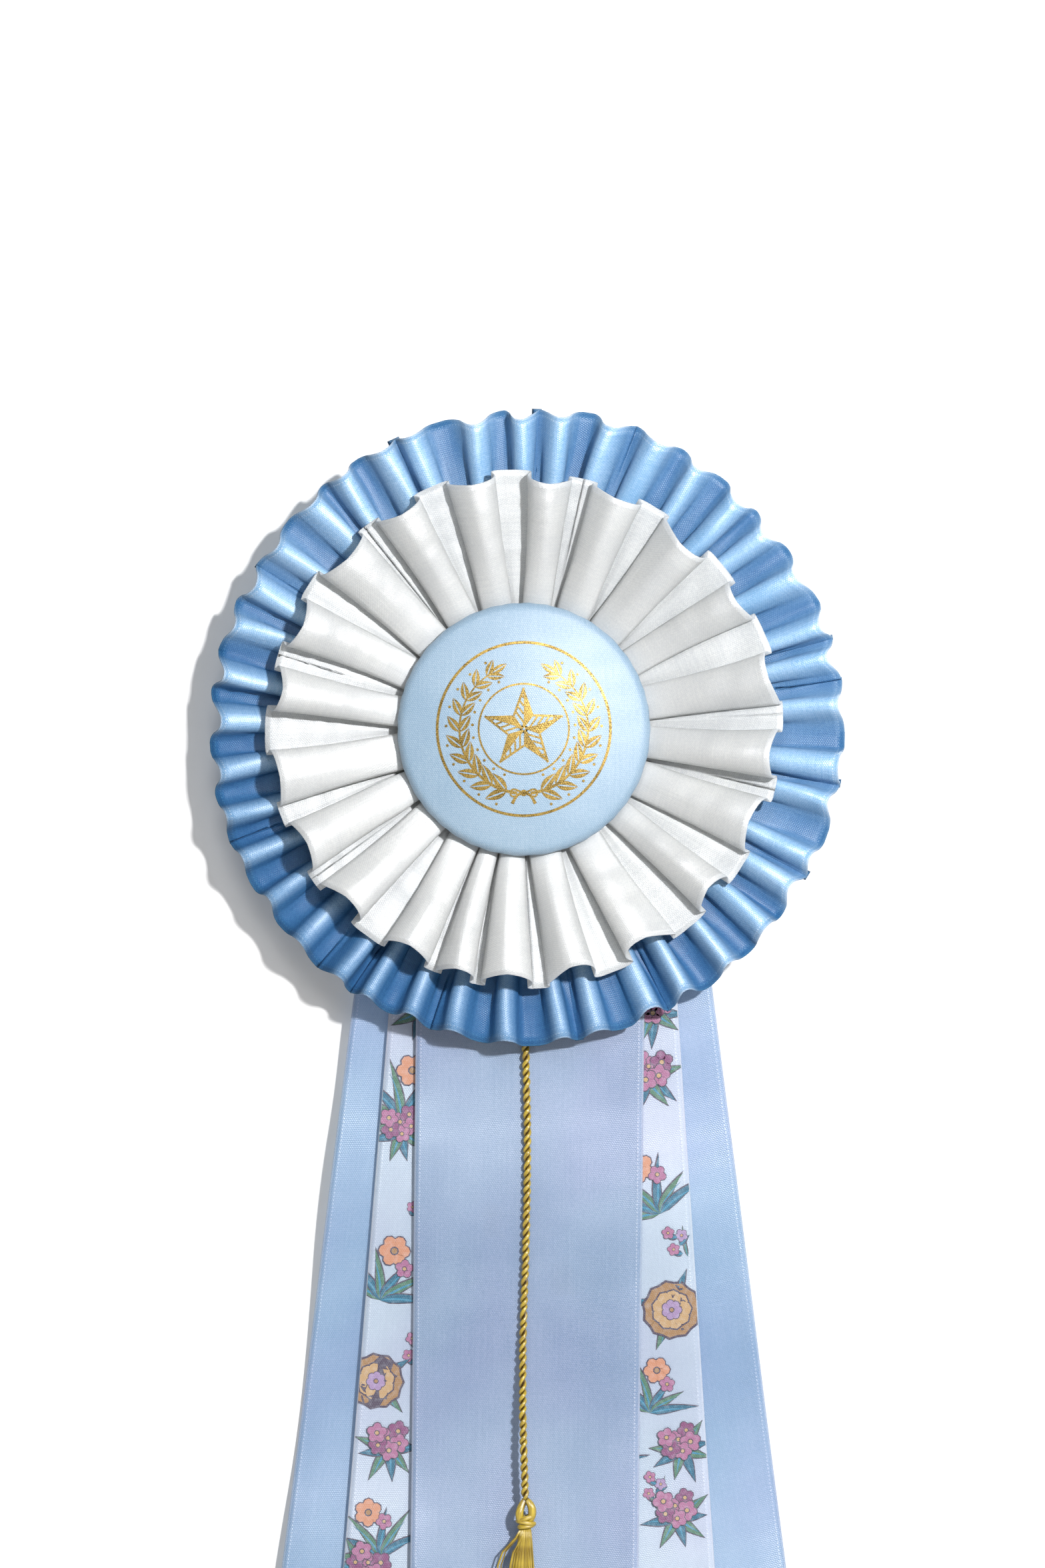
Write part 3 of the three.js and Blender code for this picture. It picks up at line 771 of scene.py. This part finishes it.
def foil_spray(side):
    """One laurel branch from the foot of the emblem up its side."""
    parts, stem = [], []
    for i in range(31):
        angle = radians(lerp(174, 30, i / 30)) * side
        stem.append(spoke(angle, WREATH_RADIUS))
    parts.append(foil_band(stem, [lerp(0.7, 0.3, i / 30) for i in range(31)]))
    for i in range(2, 30, 3):
        along = (stem[i + 1] - stem[i - 1]).normalized()
        outward = stem[i].normalized()
        size = lerp(1.1, 0.82, i / 30)
        for lean in (1, -1):
            parts += foil_leaf(stem[i], along + outward * lean * 0.72, 4.7 * size, 2.0 * size)
        for lean in (1, -1):
            berry = stem[i] + along * 1.4 + outward * lean * 3.15 * size
            parts.append(foil_disc(berry, 0.32))
    parts += foil_leaf(stem[30], stem[30] - stem[29], 4.0, 1.5)
    return parts


def foil_disc(center, radius):
    sides = 12
    rim = [center + spoke(tau * k / sides, radius) for k in range(sides)]
    return foil_part([center, *rim], [(0, 1 + k, 1 + (k + 1) % sides) for k in range(sides)])


def foil_wedge(a, b, c):
    """A filled triangle that follows the dome."""
    steps = 5
    flat, faces = [], []
    for i in range(steps + 1):
        for j in range(i + 1):
            t, s = i / steps, (j / i if i else 0)
            flat.append(a + (b - a) * t + (c - b) * s * t)
    for i in range(steps):
        row, below = i * (i + 1) // 2, (i + 1) * (i + 2) // 2
        for j in range(i + 1):
            faces.append((row + j, below + j, below + j + 1))
            if j < i:
                faces.append((row + j, below + j + 1, row + j + 1))
    return foil_part(flat, faces)


def foil_star(radius, inner):
    """A five-pointed star in faceted halves: one half solid, the other ruled with lines."""
    parts = []
    for k in range(10):
        tip = spoke(tau * ((k + 1) // 2) / 5, radius)
        notch = spoke(tau * (k // 2 + 0.5) / 5, inner)
        shift = (tip + notch).normalized() * STAR_GAP
        if k % 2 == 0:
            parts.append(foil_wedge(shift, tip, notch))
        else:
            parts.append(foil_band([shift, tip], [0.4, 0.4]))
            for t in (0.15, 0.35, 0.55, 0.75):
                parts.append(foil_band([tip * t + shift * 0.5, notch.lerp(tip, t)], [0.42, 0.42]))
            parts.append(foil_band([notch, notch.lerp(tip, 0.5), tip], [0.5, 0.5, 0.5]))
    return parts


def foil_bow():
    """The small tied bow at the foot of the wreath."""
    parts = []
    knot = Vector((0, -14.3))
    for side in (-1, 1):
        loop, tail = [], []
        for i in range(25):
            a = tau * i / 24
            out = 1 - cos(a)
            loop.append(knot + Vector((side * out * 1.5, sin(a) * out * 0.62)))
        parts.append(foil_band(loop, [0.42] * 25))
        for t in (0, 0.25, 0.5, 0.75, 1):
            drop = -2.4 * t + 0.7 * sin(pi * t)
            tail.append(knot + Vector((side * (0.3 + 2.3 * t), drop)))
        parts.append(foil_band(tail, [0.35, 0.55, 0.62, 0.62, 0.75]))
    parts.append(foil_disc(knot, 0.75))
    return parts


def emblem(material):
    parts = [foil_circle(EMBLEM_RADIUS, 0.6), foil_circle(10.1, 0.4)]
    for side in (-1, 1):
        parts += foil_spray(side)
    parts += foil_star(9.2, 3.75)
    parts += foil_bow()
    points, faces, uvs = merge(parts)
    return build("emblem_foil", points, faces, material, uvs)


# ---- ribbons and their prints -------------------------------------------------------------------
RIBBON_WIDTH = 51.8
RIBBON_THICKNESS = 0.26
HEADING_TOP = 10.0
CUT_DEPTH = 22

# Each tail's middle line at the button's height, its lean, its lower end, its cut and its layer.
TAILS = {
    "outer_left": SimpleNamespace(x=-4.9, lean=-7.2, end=-246, cut=-1, y=-2.2, seed=1),
    "outer_right": SimpleNamespace(x=9.2, lean=7.3, end=-246, cut=1, y=-2.9, seed=2),
    "printed_left": SimpleNamespace(x=0.6, lean=-4.7, end=-254, cut=-1, y=-3.6, seed=3),
    "printed_right": SimpleNamespace(x=4.8, lean=3.8, end=-254, cut=1, y=-4.3, seed=4),
    "center": SimpleNamespace(x=2.1, lean=-0.6, end=-262, cut=0, y=-5.0, seed=5),
}


def ribbon_end(tail, across):
    """The height of the cut end at a place across the ribbon, from -0.5 on the left to 0.5."""
    if tail.cut == 0:
        return tail.end + CUT_DEPTH * (1 - 2 * abs(across))
    return tail.end + CUT_DEPTH * (0.5 - tail.cut * across)


def undulation(x, z):
    """The shallow waves all the hanging ribbons share, in millimetres towards the viewer."""
    below = smooth((-z - 66) / 30)
    wave = 1.6 * sin(tau * (-z - 91 - 0.12 * x) / 92)
    wave += 0.9 * noise.noise(Vector((x * 0.012, z * 0.016, 3.1)))
    wave += 0.35 * noise.noise(Vector((x * 0.03, z * 0.035, 8.7)))
    settled = 2.0 * smooth((-z - 78) / 50)
    return below * wave - settled


def ribbon_point(tail, across, z):
    """A point of a ribbon in millimetres, by its place across it and its height."""
    lean = radians(tail.lean)
    offset = across * RIBBON_WIDTH
    ride = tail.seed * 0.11
    x = tail.x - z * tan(lean) + offset * cos(lean)
    z += offset * sin(lean)
    edge = abs(across) * 2
    below = smooth((-z - 74) / 60)
    curl = 0.35 * below * smooth((edge - 0.8) / 0.2) * sin(z * 0.05 + ride * 9)
    return Vector((x, tail.y - undulation(x, z) - curl, z))


def ribbon_mesh(name, tail, material):
    """One ribbon from its heading behind the ruffles to its cut end."""
    columns, rows = 41, 150
    lean = radians(tail.lean)
    points, uvs = [], []
    for i in range(rows):
        for j in range(columns):
            across = j / (columns - 1) - 0.5
            rise = across * RIBBON_WIDTH * sin(lean)
            end = ribbon_end(tail, across) - rise
            z = lerp(HEADING_TOP, end, i / (rows - 1))
            points.append(ribbon_point(tail, across, z))
            uvs.append(((HEADING_TOP - z) / cos(lean), (across + 0.5) * RIBBON_WIDTH))
    piece = build(name, points, grid_faces(rows, columns), material, uvs)
    thicken(piece, RIBBON_THICKNESS)
    return piece


INK = {
    "outline": (0.05, 0.035, 0.06),
    "magenta": (0.16, 0.045, 0.12),
    "pink": (0.27, 0.1, 0.19),
    "mauve": (0.25, 0.17, 0.3),
    "teal": (0.012, 0.09, 0.15),
    "aqua": (0.03, 0.17, 0.27),
    "green": (0.05, 0.13, 0.08),
    "peach": (0.42, 0.19, 0.11),
    "amber": (0.25, 0.14, 0.06),
    "tan": (0.36, 0.23, 0.11),
}


def blob(center, radius, sides=9, stretch=1.0, turn=0.0):
    """An oval outline."""
    out = []
    for i in range(sides):
        p = spoke(tau * i / sides, radius)
        p.y *= stretch
        c, s = cos(turn), sin(turn)
        out.append(center + Vector((p.x * c + p.y * s, p.y * c - p.x * s)))
    return out


def blade(root, turn, length, width, bend):
    """A long curved leaf as a row of short pieces, widest a third of the way along."""
    along, across = spoke(turn), spoke(turn + pi / 2)
    edges = []
    for i in range(8):
        t = i / 7
        half = width / 2 * sin(pi * min(1.0, t**0.6))
        middle = root + along * length * t + across * bend * t * t
        edges.append((middle - across * (half + 0.02), middle + across * (half + 0.02)))
    return [[a[0], a[1], b[1], b[0]] for a, b in zip(edges, edges[1:])]


def leaf_shapes(root, turn, length, width, bend, tint):
    """A leaf over its dark outline, with a pale streak."""
    return [
        (blade(root, turn, length * 1.05, width + 0.4, bend), "outline"),
        (blade(root, turn, length, width, bend), tint),
        (blade(root, turn, length * 0.8, width * 0.25, bend), "aqua"),
    ]


def flower_shapes(center, size, petals, tint, eye, spin):
    """A round open flower over its dark outline."""
    shapes = []
    for grow, color in ((1.18, "outline"), (1.0, tint)):
        ring = []
        for k in range(petals):
            turn = spin + tau * k / petals
            ring.append(blob(center + spoke(turn, size * 0.55), size * 0.42 * grow, 9, 1.15, turn))
        shapes.append((ring, color))
    shapes.append(([blob(center, size * 0.3)], "outline"))
    shapes.append(([blob(center, size * 0.2)], eye))
    return shapes


def bouquet(rng):
    """A cluster of small pink flowers on a fan of leaves."""
    shapes = []
    for k in range(7):
        turn = radians(60 + 40 * k) + rng.uniform(-0.2, 0.2)
        tint = "teal" if k % 2 else "green"
        shapes += leaf_shapes(Vector((0, -1)), turn, rng.uniform(5.6, 7.4), 1.9, rng.uniform(-1, 1), tint)
    for k in range(6):
        center = spoke(radians(60 * k), 2.5 if k else 0.0) + Vector((0, 1.2))
        tint = "magenta" if k % 3 == 1 else "pink"
        shapes += flower_shapes(center, rng.uniform(1.7, 2.1), 5, tint, "tan", rng.uniform(0, 6))
    return shapes


def tulip(rng):
    """A peach flower on long bent blades."""
    shapes = []
    for k in range(6):
        turn = radians(-65 + 26 * k)
        tint = "teal" if k % 2 else "green"
        bend = rng.uniform(1.2, 2.6) * (1 if k > 2 else -1)
        shapes += leaf_shapes(Vector((0, -6)), turn, rng.uniform(8, 11), 1.5, bend, tint)
    shapes += flower_shapes(Vector((0, 3.2)), 2.7, 6, "peach", "amber", 0.3)
    shapes += flower_shapes(Vector((2.6, 0.6)), 1.6, 5, "pink", "tan", 1.1)
    return shapes


def dahlia(rng):
    """A large amber flower with two rows of petals and a leaf on each side."""
    shapes = []
    for side in (-1, 1):
        shapes += leaf_shapes(Vector((0, -1)), side * 2.0, 7, 2.0, side * 1.4, "green")
        shapes += leaf_shapes(Vector((0, 1)), side * 1.1, 7, 1.8, -side * 1.2, "teal")
    spin = rng.uniform(0, 1)
    shapes += flower_shapes(Vector((0, 0)), 5.0, 11, "amber", "mauve", spin)
    shapes += flower_shapes(Vector((0, 0)), 3.5, 9, "tan", "mauve", spin + 0.3)
    shapes += flower_shapes(Vector((0, 0)), 1.8, 7, "mauve", "amber", spin)
    return shapes


def twig(rng):
    """Three small flowers on a short bent stem."""
    shapes = leaf_shapes(Vector((0, -3)), 0.2, 6, 0.5, 0.8, "green")
    for k in range(3):
        root = Vector((0.3 * k - 0.6, -2 + 1.7 * k))
        side = 1 if k % 2 else -1
        shapes += leaf_shapes(root, side * 1.1, 2.6, 0.9, 0.4, "teal")
        tint = "mauve" if k % 2 else "pink"
        shapes += flower_shapes(root + Vector((side * 1.2, 1.6)), 1.2, 5, tint, "tan", rng.uniform(0, 6))
    return shapes


PRINT_REPEAT = 100
PRINT_LIFT = 0.15  # how far the print lies before the ribbon's middle
PRINT_LAYER = 0.012  # and each of its layers before the last
# Where the motifs of one repeat lie on each white ribbon: [motif, across, height].
PRINTS = {
    "printed_left": [
        (bouquet, -21, -92), (twig, -15, -110), (tulip, -21, -124), (dahlia, -22, -150),
        (bouquet, -18, -164), (twig, -13, -143), (tulip, -20, -183), (tulip, 0, -103),
        (dahlia, 3, -138), (bouquet, -2, -172), (tulip, 17, -119), (bouquet, 17, -150),
        (twig, 16, -176), (dahlia, 17, -90),
    ],
    "printed_right": [
        (bouquet, 18, -79), (tulip, 16, -104), (twig, 23, -118), (dahlia, 20, -133),
        (tulip, 15, -150), (bouquet, 20, -164), (twig, 14, -174), (dahlia, 0, -93),
        (bouquet, -2, -126), (tulip, 1, -162),
        (twig, -17, -84), (bouquet, -17, -112), (dahlia, -18, -142), (tulip, -17, -171),
    ],
}


def clip(outline, axis, limit, keep_below):
    """The part of a convex outline on one side of a line across one axis."""
    out = []
    for i, p in enumerate(outline):
        q = outline[(i + 1) % len(outline)]
        p_in = (p[axis] <= limit) == keep_below
        q_in = (q[axis] <= limit) == keep_below
        if p_in:
            out.append(p)
        if p_in != q_in:
            out.append(p + (q - p) * (limit - p[axis]) / (q[axis] - p[axis]))
    return out


def print_on(name, tail, motifs, material):
    """The motifs printed all over one white ribbon, a hair in front of its face."""
    rng = random.Random(tail.seed * 37)
    points, faces, uvs, colors = [], [], [], []
    margin = RIBBON_WIDTH / 2 - 0.2
    places = [(m, x, z + PRINT_REPEAT * k) for k in (1, 0, -1) for m, x, z in motifs]
    for motif, across, height in places:
        if not tail.end - 6 < height < -56:
            continue
        turn = rng.uniform(-0.5, 0.5)
        size = rng.uniform(1.05, 1.3)
        c, s = cos(turn) * size, sin(turn) * size
        for layer, (outlines, tint) in enumerate(motif(rng)):
            for outline in outlines:
                flat = [Vector((across + p.x * c + p.y * s, height + p.y * c - p.x * s)) for p in outline]
                flat = clip(clip(flat, 0, margin, True), 0, -margin, False)
                cut = [p.y < ribbon_end(tail, p.x / RIBBON_WIDTH) + 0.3 for p in flat]
                if len(flat) < 3 or any(cut):
                    continue
                start = len(points)
                for p in flat:
                    on_face = ribbon_point(tail, p.x / RIBBON_WIDTH, p.y)
                    points.append(on_face - Vector((0, PRINT_LIFT + PRINT_LAYER * layer, 0)))
                    uvs.append((HEADING_TOP - p.y, p.x + RIBBON_WIDTH / 2))
                    colors.append(INK[tint])
                faces.append(tuple(range(start, len(points))))
    piece = build(name, points, faces, material, uvs)
    layer_color = piece.data.color_attributes.new("ink", "FLOAT_COLOR", "POINT")
    layer_color.data.foreach_set("color", [c for tint in colors for c in (*tint, 1.0)])
    return piece


# ---- gold cord ----------------------------------------------------------------------------------
CORD_DIAMETER = 1.8
CORD_TWIST = 3.8
CORD_REST = CORD_DIAMETER / 2 + 0.45  # from the center tail's middle to the cord's
KNOT_X = 0.45
KNOT_Y = -7.6
KNOT_TOP = -174.4
# The cord's way down from behind the front card, as [across, up].
CORD_PATH = [
    (0.6, -21), (0.5, -30), (0.4, -40), (0.4, -50), (0.4, -60), (0.4, -68), (0.45, -76), (0.7, -83),
    (0.8, -92), (0.8, -101), (0.6, -110), (0.4, -119), (0.1, -128), (-0.2, -137), (-0.3, -146),
    (-0.3, -155), (0, -164), (0.4, -175),
]


def cord_line(count):
    """The cord's middle line: on the center tail, and off it again just above the tassel's knot."""
    controls = []
    for x, z in CORD_PATH:
        on_tail = ribbon_point(TAILS["center"], 0.0, z).y - CORD_REST
        controls.append(Vector((x, lerp(on_tail, KNOT_Y + 0.5, smooth((-z - 132) / 38)), z)))
    return bspline(controls, count)


def twisted_cord(material):
    """Two plies of floss laid round each other. depth is the painted shade: 0 outside and 1 in their
    grooves.
    """
    count, sides = 760, 16
    line = cord_line(count)
    parts, depths = [], []
    lift = CORD_DIAMETER / 4
    strand = CORD_DIAMETER / 2 - lift
    for ply in range(2):
        path, radii, run = [], [], 0.0
        for i, p in enumerate(line):
            if i:
                run += (p - line[i - 1]).length
            slack = noise.noise(Vector((0.3, 7.1, p.z * 0.4)))
            angle = tau * run / CORD_TWIST + pi * ply + 0.8 * slack
            sway = 0.1 * noise.noise(Vector((4.2, 1.6, p.z * 0.6)))
            path.append(p + Vector((cos(angle) * lift + sway, -sin(angle) * lift, 0)))
            radii.append(strand * (1 + 0.16 * noise.noise(Vector((ply * 9.0, 2.5, p.z * 0.9)))))
        part = tube(path, radii, sides)
        parts.append(part)
        for i, p in enumerate(part[0]):
            from_line = (p - line[i // sides]).length / (CORD_DIAMETER / 2)
            depths.append(smooth((0.97 - from_line) / 0.45))
    points, faces, uvs = merge(parts)
    length = sum((line[i] - line[i - 1]).length for i in range(1, count))
    piece = build("gold_cord", points, faces, material, uvs)
    note_points(piece, "depth", depths)
    return piece, line, length


def cord_knot(material):
    """The tassel's knot: the two plies part round a gap, and three turns bind them below it."""
    parts = []
    for side in (-1, 1):
        path = []
        for i in range(44):
            t = i / 43
            swing = sin(pi * t) ** 0.8
            path.append(Vector((
                KNOT_X + side * (0.2 + 1.25 * swing),
                KNOT_Y - 0.5 * swing + 0.35 * side * (t - 0.5),
                KNOT_TOP - 5.6 * t + 0.35 * side * swing,
            )))
        parts.append(tube(path, [0.72 + 0.22 * sin(pi * i / 43) for i in range(44)], 14))
    turns = ((-3.9, 1.75, 0.55, 0.5), (-4.9, 1.8, 0.58, -0.35), (-5.8, 1.5, 0.5, 0.2))
    for drop, radius, width, tilt in turns:
        loop = []
        for i in range(37):
            a = tau * i / 36
            loop.append(Vector((
                KNOT_X + radius * sin(a),
                KNOT_Y + 0.7 * radius * cos(a),
                KNOT_TOP + drop + tilt * sin(a),
            )))
        parts.append(tube(loop, [width] * 37, 10))
    points, faces, uvs = merge(parts)
    piece = build("knot_floss", points, faces, material, uvs)
    middle = Vector((KNOT_X, KNOT_Y))
    near = [(Vector((p.x, p.y)) - middle).length for p in points]
    # Painted shade, deepest at the knot's middle.
    note_points(piece, "depth", [smooth((1.25 - d) / 0.9) for d in near])
    return piece


def tassel(material):
    """The combed floss below the knot: many thin strands, drawn in at the neck, a few astray."""
    rng = random.Random(9)
    parts, depths = [], []
    top, bottom = -179.8, -235.5
    strands, steps, sides = 150, 18, 5
    for k in range(strands):
        a = rng.uniform(0, tau)
        share = sqrt(rng.random())
        length = rng.uniform(0.94, 1.0)
        stray = rng.uniform(2.5, 6.0) if k % 13 == 0 else rng.uniform(0.0, 0.9)
        phase = rng.uniform(0, 6)
        path = []
        for i in range(steps):
            t = i / (steps - 1)
            spread = share * lerp(1.0, 5.0, smooth(t * 1.3) * 0.5 + t**0.6 * 0.5)
            wander = 0.45 * t * sin(phase + 5 * t)
            astray = stray * (smooth(t * 6) - 0.75 * smooth(t * 1.4 - 0.1))
            path.append(Vector((
                KNOT_X + spread * cos(a) + wander - astray,
                KNOT_Y + 0.42 * spread * sin(a) + 0.15 * sin(phase + 7 * t) * t,
                lerp(top, top + (bottom - top) * length, t),
            )))
        parts.append(tube(path, [0.19] * (steps - 1) + [0.07], sides))
        # A random tone, plus painted shade on the strands behind the middle.
        tone = rng.uniform(0.0, 0.35) + 0.25 * (sin(a) > 0)
        depths += [tone] * (steps * sides)
    points, faces, uvs = merge(parts)
    piece = build("tassel_floss", points, faces, material, uvs)
    note_points(piece, "depth", depths)
    return piece


# ---- making it ----------------------------------------------------------------------------------
def dress(material, *nodes):
    """Gives pieces carried over from the shared frame their own surface."""
    for node in nodes:
        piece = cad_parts[node]
        piece.data.materials.clear()
        piece.data.materials.append(material)


def hang(piece):
    """Bakes a piece's placement into its points; it is left unattached to any body."""
    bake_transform(piece)


def make_cord(gold):
    cord, line, length = twisted_cord(gold)
    knot = cord_knot(gold)
    floss = tassel(gold)
    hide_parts("cord_upper", "cord_lower")
    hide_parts("cord_knot")
    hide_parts("tassel")
    hang(cord)
    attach(knot, "cord")
    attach(floss, "tassel")


def make_ruffles():
    # The valley colours, (0.96, 0.97, 0.98) and (0.08, 0.24, 0.38), are painted shade for the folds'
    # valleys.
    white = satin(
        "white_satin", (0.8, 0.805, 0.785), (0.48, 0.5, 0.52), (1.0, 0.96, 0.87), RUFFLE_WIDTH,
        0.28, 0.42, (0.96, 0.97, 0.98), 2.3,
    )
    blue = satin(
        "blue_satin", (0.4, 0.57, 0.76), (0.13, 0.32, 0.55), (0.16, 0.4, 0.75), RUFFLE_WIDTH,
        0.04, 0.42, (0.08, 0.24, 0.38),
    )
    layers = (
        ("white", WHITE, WHITE_FOLDS, white),
        ("blue", BLUE, even_folds(41, 1.2, 3), blue),
    )
    for color, spec, folds, material in layers:
        piece, length = ruffle(color + "_ruffle_satin", spec, folds, material)
        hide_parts(color + "_ruffle")
        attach(piece, "rosette")


def make_button():
    cloth = satin(
        "button_satin", (0.3, 0.4, 0.49), (0.15, 0.26, 0.37), (0.3, 0.5, 0.7), None, 0.02, 0.52
    )
    piece, run = satin_button(cloth)
    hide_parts("button_cover")
    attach(piece, "rosette")
    crest = emblem(foil("gold_foil"))
    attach(crest, "rosette")


# Each tail's satin: its floats, the dips between them, and the light that comes through.
TAIL_SATINS = {
    "outer": ((0.33, 0.45, 0.59), (0.17, 0.29, 0.44), (0.4, 0.55, 0.75)),
    "center": ((0.36, 0.46, 0.61), (0.18, 0.28, 0.43), (0.3, 0.45, 0.68)),
    "printed": ((0.54, 0.63, 0.73), (0.38, 0.47, 0.58), (0.8, 0.82, 0.84)),
}


def make_tails():
    satins = {}
    for kind, colors in TAIL_SATINS.items():
        satins[kind] = satin(kind + "_satin", *colors, RIBBON_WIDTH)
    motif = ink("sprig_ink")
    for name, tail in TAILS.items():
        kind = name.split("_")[0]
        body = "tail_" + name
        ribbon = ribbon_mesh(body + "_satin", tail, satins[kind])
        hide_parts(body + "_heading", body)
        hang(ribbon)
        if kind == "printed":
            sprigs = print_on(body + "_print", tail, PRINTS[name], motif)
            hang(sprigs)


def dress_hardware():
    dress(paperboard("card", (0.62, 0.59, 0.52), (0.46, 0.42, 0.35)), "front_card", "back_card")
    wire = metal("staple_wire", (0.75, 0.75, 0.76), (0.5, 0.5, 0.52), 0.3)
    dress(wire, *("ruffle_staple_%d" % k for k in (1, 2, 3, 4)))
    dress(wire, "tail_staple_left", "tail_staple_right")
    tin = metal("tinplate", (0.72, 0.73, 0.75), (0.55, 0.56, 0.58), 0.32)
    dress(tin, "button_shell", "button_back_plate")
    nickel = metal("nickel", (0.74, 0.72, 0.68), (0.58, 0.56, 0.52), 0.22)
    dress(nickel, "pin_bar", "pin_stem", "pin_rivet", "pin_catch")
    dress(soft_plastic("foam", (0.8, 0.8, 0.78), (0.62, 0.62, 0.6)), "pin_pad")
    dress(soft_plastic("glue", (0.74, 0.66, 0.42), (0.6, 0.5, 0.3), 1.2, 0.3), "cord_glue_dab")
    threads = (
        ("white", (0.8, 0.8, 0.78), (0.55, 0.55, 0.54)),
        ("blue", (0.14, 0.3, 0.5), (0.05, 0.13, 0.27)),
    )
    for color, bright, shade in threads:
        dress(soft_plastic(color + "_thread", bright, shade, 5.0, 0.7), color + "_ruffle_stitching")


add_camera()
make_cord(gold_thread("gold_floss"))
add_lights()
add_stage()
make_ruffles()
make_button()
make_tails()
dress_hardware()
